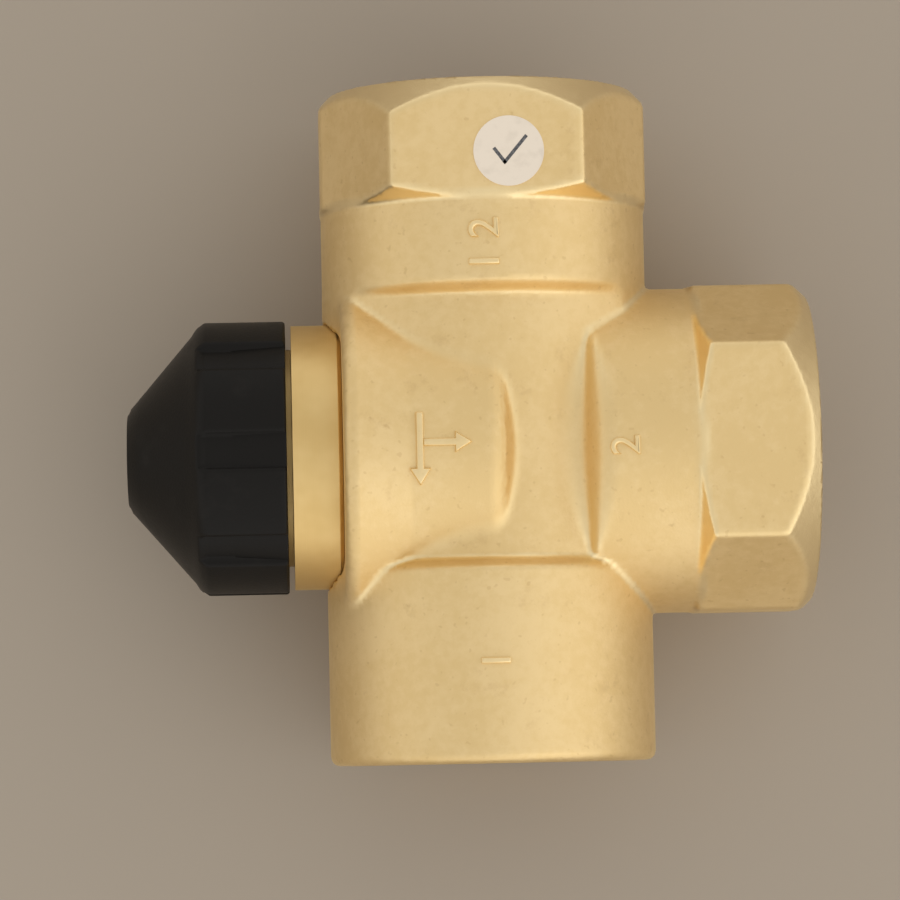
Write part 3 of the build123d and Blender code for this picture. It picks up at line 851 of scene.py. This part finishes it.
# %% Thread helper
def thread_piece(name, spindle, start, end, valley, crest, pitch, material, body="body", count=120):
    """A screw thread between two places on a spindle: radius valley to crest, pitch in mm."""
    steps = 16
    rows = int((end - start + 2 * pitch) / pitch * steps)
    turns = np.linspace(0, 1, count + 1)
    place = start - pitch + (np.arange(rows)[:, None] / steps + turns[None, :]) * pitch
    phase = (np.arange(rows) % steps) / steps
    flank = np.clip(np.abs(phase - 0.5) * 3.2 - 0.3, 0, 1)
    runout = np.clip((place - start) / pitch, 0, 1) * np.clip((end - place) / (0.6 * pitch), 0, 1)
    radius = crest + (valley - crest) * flank[:, None] * runout
    points = spindle.points(np.clip(place, start, end), radius, turns[None, :] * 2 * math.pi)
    faces = grid_faces(rows, count + 1, False)
    piece = new_piece(name, points.reshape(-1, 3), faces, material, body)
    face_outwards(piece)
    return piece


# %% [markdown]
# ## Port mouths and pipe threads
#
# Each port is faced flat, chamfered and cut with a pipe thread of eleven turns to the
# inch. The thread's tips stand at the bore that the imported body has.

# %% Cut the three pipe threads
PIPE_MINOR_RADIUS = 30.291 / 2
PIPE_MAJOR_RADIUS = 33.249 / 2
PIPE_PITCH = 25.4 / 11
PORTS = {
    "common": (COMMON, common_end, TURNED_RUN, END_FACE_RADIUS),
    "straight": (STRAIGHT, -straight_end, TURNED_RUN, STRAIGHT_FACE_RADIUS),
    "branch": (STEM, branch_end, TURNED_STEM, END_FACE_RADIUS),
}
for port, (spindle, reach, material, face_radius) in PORTS.items():
    mouth_chamfer = 1.4
    ring = turn_piece(
        f"{port}_port_face",
        spindle,
        [
            (reach - mouth_chamfer, PIPE_MAJOR_RADIUS - 0.1),
            (reach, PIPE_MAJOR_RADIUS + 0.2),
            (reach, face_radius - FACE_MARGIN),
            (reach - FACE_DEPTH - 0.2, face_radius - FACE_MARGIN),
            (reach - FACE_DEPTH - 0.2, THREAD_SEAT_RADIUS + 0.25),
            (reach - mouth_chamfer - 0.4, THREAD_SEAT_RADIUS + 0.25),
            (reach - mouth_chamfer - 0.4, PIPE_MAJOR_RADIUS - 0.1),
        ],
        material,
        bevel=0.08,
    )
    inner = reach - PIPE_THREAD_DEPTH
    thread = thread_piece(
        f"{port}_pipe_thread",
        spindle,
        inner - 0.2,
        reach - mouth_chamfer,
        PIPE_MINOR_RADIUS,
        PIPE_MAJOR_RADIUS,
        PIPE_PITCH,
        material,
    )
    print(port, "thread", len(thread.data.polygons), "faces")

# %% [markdown]
# ## The bonnet
#
# The collar, the actuator thread and the spring chamber are one turned piece. Most of it
# is hidden, but its collar shows beside the cap and its thread shows when the cap is off.

# %% Turn the bonnet and cut its thread
NECK_THREAD_RADIUS = 14.9
NECK_PITCH = 1.5
NECK_CORE_RADIUS = NECK_THREAD_RADIUS - 0.92
thread_start = neck_tip + 8.0
bonnet = turn_piece(
    "turned_bonnet",
    STEM,
    [
        (bonnet_inner, 9.0),
        (bonnet_inner, 12.95),
        (NECK_RIM, 12.95),
        (NECK_RIM, collar_radius - 0.6),
        (NECK_RIM - 0.5, collar_radius),
        (collar_face, collar_radius),
        (collar_face, 13.7),
        (thread_start, 13.7),
        (thread_start, NECK_CORE_RADIUS - 0.1),
        (neck_tip + 0.02, NECK_CORE_RADIUS - 0.1),
        (neck_tip, 6.5),
        (neck_tip + 4.2, 6.5),
        (neck_tip + 4.2, 4.0),
        (-25.04, 4.0),
        (-25.04, 2.07),
        (-23.04, 2.07),
        (-23.04, 9.0),
    ],
    TURNED_STEM,
)
neck_thread = thread_piece(
    "actuator_thread",
    STEM,
    neck_tip,
    thread_start,
    NECK_CORE_RADIUS,
    NECK_THREAD_RADIUS,
    NECK_PITCH,
    TURNED_STEM,
)
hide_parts("bonnet")

# %% [markdown]
# ## The protective cap
#
# The cap is a moulding: eight grip panels stand proud of the round, and a cone runs to a
# flat tip. One grid does for all of it, because the panels are only a small change of the
# radius with the angle, and the mould's soft edges come from letting that change rise over
# half a millimetre.

# %% Mould the cap
PANEL_COUNT = 8
PANEL_DEPTH = 0.9
GROOVE_HALF_WIDTH = 2.2
CAP_RADIUS = 17.3
PANEL_END = cap_rim - 10.2
CONE_START = PANEL_END - 0.7
CONE_END_RADIUS = 6.0
CAP_TIP = cap_tip + 0.2


def smooth_step(value):
    value = np.clip(value, 0, 1)
    return value * value * (3 - 2 * value)


def mould_cap():
    count = 384
    angles = np.linspace(0, 2 * math.pi, count, endpoint=False)
    step = 2 * math.pi / PANEL_COUNT
    from_groove = np.abs((angles + step / 2) % step - step / 2) * CAP_RADIUS
    panel = smooth_step((from_groove - GROOVE_HALF_WIDTH + 0.25) / 0.5)
    outline = [
        *arc_points((cap_rim - 0.4, CAP_RADIUS - 0.4), 0.4, 0, 90, 5),
        *[(a, CAP_RADIUS) for a in np.linspace(cap_rim - 1.0, PANEL_END + 0.6, 8)],
        *[(PANEL_END + 0.3, CAP_RADIUS), (PANEL_END, CAP_RADIUS - 0.05), (CONE_START, CAP_RADIUS - 0.55)],
        (CONE_START - 0.4, CAP_RADIUS - 0.95),
        *[
            (a, CAP_RADIUS - 0.7 - (CONE_START - a) * (CAP_RADIUS - 0.7 - CONE_END_RADIUS) / (CONE_START - CAP_TIP))
            for a in np.linspace(CONE_START - 0.9, CAP_TIP + 0.5, 8)
        ],
        *arc_points((CAP_TIP + 0.6, CONE_END_RADIUS - 0.5), 0.6, 130, 180, 5),
        (CAP_TIP - 0.1, CONE_END_RADIUS / 2),
        (CAP_TIP - 0.2, 0.02),
    ]
    along, radius = (np.array(v) for v in zip(*outline))
    panel_zone = smooth_step((along - CONE_START) / 0.8)[:, None]
    depth = PANEL_DEPTH * (1 - panel[None, :]) * panel_zone
    rows = STEM.points(along[:, None], radius[:, None] - depth, angles[None, :])
    piece = new_piece("moulded_cap", rows.reshape(-1, 3), grid_faces(len(outline), count, True),
                      FINISHES["cap_plastic"], "cap")
    face_outwards(piece)
    return piece


moulded_cap = mould_cap()
CAP_BORE = 15.05
cap_inside = turn_piece(
    "cap_inside",
    STEM,
    [
        (cap_rim, CAP_BORE + 0.9),
        (cap_rim, CAP_RADIUS - 0.45),
        (cap_rim - 0.3, CAP_RADIUS - 0.5),
        (PANEL_END + 1, CAP_BORE + 1.2),
        (PANEL_END - 3.5, 12.6),
        (-43.5, 7.2),
        (-43.0, 0.02),
        (-42.0, 0.02),
        (-42.0, 5.85),
        (-39.4, 5.85),
        (-39.4, 10.9),
        (-36.1, CAP_BORE),
        (-36.1, CAP_BORE + 0.9),
    ],
    FINISHES["cap_plastic"],
    "cap",
)
cap_thread = thread_piece(
    "cap_thread",
    STEM,
    -36.1,
    cap_rim,
    CAP_BORE,
    CAP_BORE + 0.85,
    NECK_PITCH,
    FINISHES["cap_plastic"],
    "cap",
)
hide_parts("protective_cap")

# %% [markdown]
# ## The return spring
#
# The imported spring is one even helix. The real one has a closed coil at each end, so that it stands square in its
# cup. It shortens as the stem is pressed.

# %% Wind the spring
spring_start, spring_end = span("return_spring", 0)
STROKE = 2.5


def wind_spring():
    wire, mean_radius, turns, sides = 1.3, 6.7, 5.5, 14
    closed = 0.85
    count = 360
    travel = np.linspace(0, turns, count)
    closed_rise = closed * wire * 1.01
    free = spring_end - spring_start - wire - 2 * closed_rise
    rise = np.where(
        travel < closed,
        travel / closed * closed_rise,
        np.where(
            travel > turns - closed,
            closed_rise + free + (travel - turns + closed) / closed * closed_rise,
            closed_rise + (travel - closed) / (turns - 2 * closed) * free,
        ),
    )
    angle = travel * 2 * math.pi
    ring = np.linspace(0, 2 * math.pi, sides, endpoint=False)
    along = spring_start + wire / 2 + rise[:, None] + wire / 2 * np.sin(ring)[None, :]
    radius = mean_radius + wire / 2 * np.cos(ring)[None, :]
    points = STEM.points(along, radius + 0 * along, angle[:, None] + 0 * along)
    piece = new_piece("wound_spring", points.reshape(-1, 3), grid_faces(count, sides, True),
                      FINISHES["stainless"], "body")
    face_outwards(piece)
    return piece


wound_spring = wind_spring()
anchor = crossing + Vector((spring_end * MM, 0, 0))
1 - STROKE / (spring_end - spring_start)
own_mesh(wound_spring)
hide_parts("return_spring")

# %% [markdown]
# ## Raised marks
#
# A forging carries raised marks that tell the ports apart. Here they are plain numerals
# and arrows. A font curve gives clean strokes, which are extruded, rounded and sunk into
# the skin, so that only the upper part stands out.


# %% Raise the marks
MARK_PROUD = 0.5
MARK_DEPTH = 1.5
MARK_ROUND = 0.24
MARK_RUB_AND_HIGHLIGHT = 0.6  # how far the marks are painted bright, partly for wear and partly as a painted highlight, as edges are


def raised_mark(name, text, place, size, turn_degrees, lean=0.0, spacing=1.15):
    """A plain numeral standing out of the skin at a place in mm from the crossing."""
    curve = bpy.data.curves.new(name, "FONT")
    curve.body = text
    curve.size = size * MM
    curve.align_x = "CENTER"
    curve.align_y = "CENTER"
    curve.space_character = spacing
    curve.extrude = (MARK_DEPTH / 2 - MARK_ROUND) * MM
    curve.offset = -MARK_ROUND * 0.6 * MM
    curve.bevel_depth = MARK_ROUND * MM
    curve.bevel_resolution = 3
    text_object = bpy.data.objects.new(name + "_outline", curve)
    mesh = bpy.data.meshes.new_from_object(text_object)
    bpy.data.objects.remove(text_object)
    mesh.name = name
    mesh.materials.append(FORGED)
    mesh.shade_smooth()
    mesh.set_sharp_from_angle(angle=math.radians(50))
    spot = Vector(place) + Vector((0, 0, MARK_PROUD - MARK_DEPTH / 2))
    turn_matrix = Matrix.Rotation(math.radians(lean), 4, "Y") @ Matrix.Rotation(math.radians(turn_degrees), 4, "Z")
    mesh.transform(Matrix.Translation(crossing + spot * MM) @ turn_matrix)
    piece = bpy.data.objects.new(name, mesh)
    bpy.context.scene.collection.objects.link(piece)
    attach(piece, "body")
    # The marks' edge number paints a highlight on them, partly also wear
    add_numbers(piece, "edge", np.full(len(mesh.vertices), MARK_RUB_AND_HIGHLIGHT))
    return piece


raised_mark("common_port_mark", "12", (-0.4, 24.5, 20.42), 5.2, 90, spacing=1.6)
raised_mark("branch_port_mark", "2", (16.4, -0.5, 20.48), 5.0, 90)
raised_mark("straight_port_mark", "1", (0.0, -26.5, 20.48), 5.0, 90)


def raised_bar(name, outline, height, lean, place):
    """A flat raised shape from an outline of (x, y) points in mm, rounded at its top."""
    work = bmesh.new()
    corners = [work.verts.new((x * MM, y * MM, 0)) for x, y in outline]
    face = work.faces.new(corners)
    side = bmesh.ops.extrude_face_region(work, geom=[face])
    moved = [v for v in side["geom"] if isinstance(v, bmesh.types.BMVert)]
    bmesh.ops.translate(work, verts=moved, vec=(0, 0, height * MM))
    bmesh.ops.recalc_face_normals(work, faces=work.faces)
    top = [e for e in work.edges if all(v.co.z > height * MM / 2 for v in e.verts)]
    bmesh.ops.bevel(work, geom=top, offset=MARK_ROUND * MM, segments=3, affect="EDGES", profile=0.5)
    mesh = bpy.data.meshes.new(name)
    work.to_mesh(mesh)
    work.free()
    mesh.materials.append(FORGED)
    mesh.shade_smooth()
    mesh.set_sharp_from_angle(angle=math.radians(50))
    sunk = Vector(place) - Vector((0, 0, height - MARK_PROUD))
    mesh.transform(Matrix.Translation(crossing + sunk * MM) @ Matrix.Rotation(math.radians(lean), 4, "Y"))
    piece = bpy.data.objects.new(name, mesh)
    bpy.context.scene.collection.objects.link(piece)
    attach(piece, "body")
    # The marks' edge number paints a highlight on them, partly also wear
    add_numbers(piece, "edge", np.full(len(mesh.vertices), MARK_RUB_AND_HIGHLIGHT))
    return piece


def arrow(length, width, head):
    """Outline of an arrow that points along +x."""
    half, wing = width / 2, head / 2
    neck = length - head * 0.8
    return [(0, -half), (neck, -half), (neck, -wing), (length, 0), (neck, wing), (neck, half), (0, half)]


def quarter_turned(outline, times):
    for _ in range(times):
        outline = [(-y, x) for x, y in outline]
    return outline


NECK_LEAN = math.degrees(math.atan2(0.3, 10.4))  # slope of the neck boss between its waist and its ridge
boss_top = barrel_radius + 0.35
raised_bar("flow_arrow_down", quarter_turned(arrow(9.0, 0.9, 2.6), 3), 1.6, NECK_LEAN, (-9.0, 4.0, boss_top))
raised_bar("flow_arrow_right", arrow(6.0, 0.9, 2.6), 1.6, NECK_LEAN, (-8.6, 0.3, boss_top - 0.05))

# %% [markdown]
# ## The label
#
# A thin round film is stuck on the front flat. It carries only a printed tick.

# %% Stick and print the label
label_low, label_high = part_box("inspection_label")
label_middle = (label_low + label_high) / 2


def draw_tick():
    strokes = [(-1.7, 0.2), (-0.5, -1.4), (2.1, 1.7)]
    width = 0.42
    points, faces = [], []
    for start, end in zip(strokes, strokes[1:]):
        a, b = np.array(start), np.array(end)
        along = (b - a) / np.linalg.norm(b - a)
        side = np.array([-along[1], along[0]]) * width / 2
        first = len(points)
        for corner in (a - along * width / 2 - side, b + along * width / 2 - side,
                       b + along * width / 2 + side, a - along * width / 2 + side):
            points.append((corner[0], corner[1], 0.0))
        faces.append([first, first + 1, first + 2, first + 3])
    place = (label_middle - crossing) / MM
    lift = label_high[2] / MM + 0.015
    shifted = np.array(points) + np.array([place.x, place.y, lift])
    return new_piece("label_tick", shifted, np.array(faces), INK, "body")


draw_tick()

# %% [markdown]
# ## Floor and light
#
# The valve lies on its back on a plain pale floor. One wide lamp at the lower right gives the long soft shine of the
# photograph, and a world that is brighter at its sides than overhead, and brightest at the lower right, fills the rest.

# %% Lay the floor
FLOOR_COLOR = (0.395, 0.338, 0.275, 1.0)


def lay_floor():
    half = 3.0
    mesh = bpy.data.meshes.new("floor")
    level = cad_low[2]
    corners = [(x * half, y * half, level) for x, y in ((-1, -1), (1, -1), (1, 1), (-1, 1))]
    mesh.from_pydata(corners, [], [(0, 1, 2, 3)])
    floor = bpy.data.objects.new("floor", mesh)
    bpy.context.scene.collection.objects.link(floor)
    finish = Finish("floor_paper", Roughness=0.85, Specular_IOR_Level=0.2)
    cloud = finish.noise(60.0)
    lighter = tuple(c * 1.05 for c in FLOOR_COLOR[:3]) + (1.0,)
    finish.feed(finish.shader.inputs["Base Color"], finish.blend_colors(cloud, FLOOR_COLOR, lighter))
    mesh.materials.append(finish.material)


lay_floor()


# %% Hang the lamps
def lamp(name, place, aim, size, power):
    data = bpy.data.lights.new(name, "AREA")
    data.shape = "RECTANGLE"
    data.size, data.size_y = size
    data.energy = power
    light = bpy.data.objects.new(name, data)
    light.location = place
    light.rotation_euler = (Vector(aim) - Vector(place)).to_track_quat("-Z", "Y").to_euler()
    bpy.context.scene.collection.objects.link(light)


lamp("key", (0.75, -0.75, 0.95), crossing, (1.1, 1.1), 2.0)

BRIGHT_SIDE = (0.72, -0.60, 0.35)  # the tent is brightest at the lower right
SIDE_SHARE = 0.16
HORIZON_LEVEL = 1.18
ZENITH_LEVEL = 0.76


def studio_world():
    """Light as in a tent of cloth: brighter at its sides than overhead, and on one side."""
    world = bpy.data.worlds.new("studio")
    world.use_nodes = True
    tree = world.node_tree

    def made(kind, operation, first, second):
        node = tree.nodes.new(kind)
        node.operation = operation
        tree.links.new(first, node.inputs[0])
        if isinstance(second, bpy.types.NodeSocket):
            tree.links.new(second, node.inputs[1])
        else:
            node.inputs[1].default_value = second
        return node.outputs["Value"]

    direction = tree.nodes.new("ShaderNodeTexCoord").outputs["Generated"]
    height = made("ShaderNodeVectorMath", "DOT_PRODUCT", direction, (0, 0, 1))
    facing = made("ShaderNodeVectorMath", "DOT_PRODUCT", direction, BRIGHT_SIDE)
    level = tree.nodes.new("ShaderNodeMapRange")
    level.interpolation_type = "SMOOTHSTEP"
    tree.links.new(height, level.inputs["Value"])
    level.inputs["From Max"].default_value = 0.8
    level.inputs["To Min"].default_value = HORIZON_LEVEL
    level.inputs["To Max"].default_value = ZENITH_LEVEL
    share = made("ShaderNodeMath", "ADD", made("ShaderNodeMath", "MULTIPLY", facing, SIDE_SHARE), 1.0)
    strength = made("ShaderNodeMath", "MULTIPLY", level.outputs["Result"], share)
    background = tree.nodes["Background"]
    background.inputs["Color"].default_value = (1.0, 0.985, 0.955, 1.0)
    tree.links.new(strength, background.inputs["Strength"])
    return world


bpy.context.scene.world = studio_world()
bpy.context.scene.view_settings.view_transform = "Standard"

# %% [markdown]
# ## Sizes
#
# The dressed valve must be as large as the imported one.
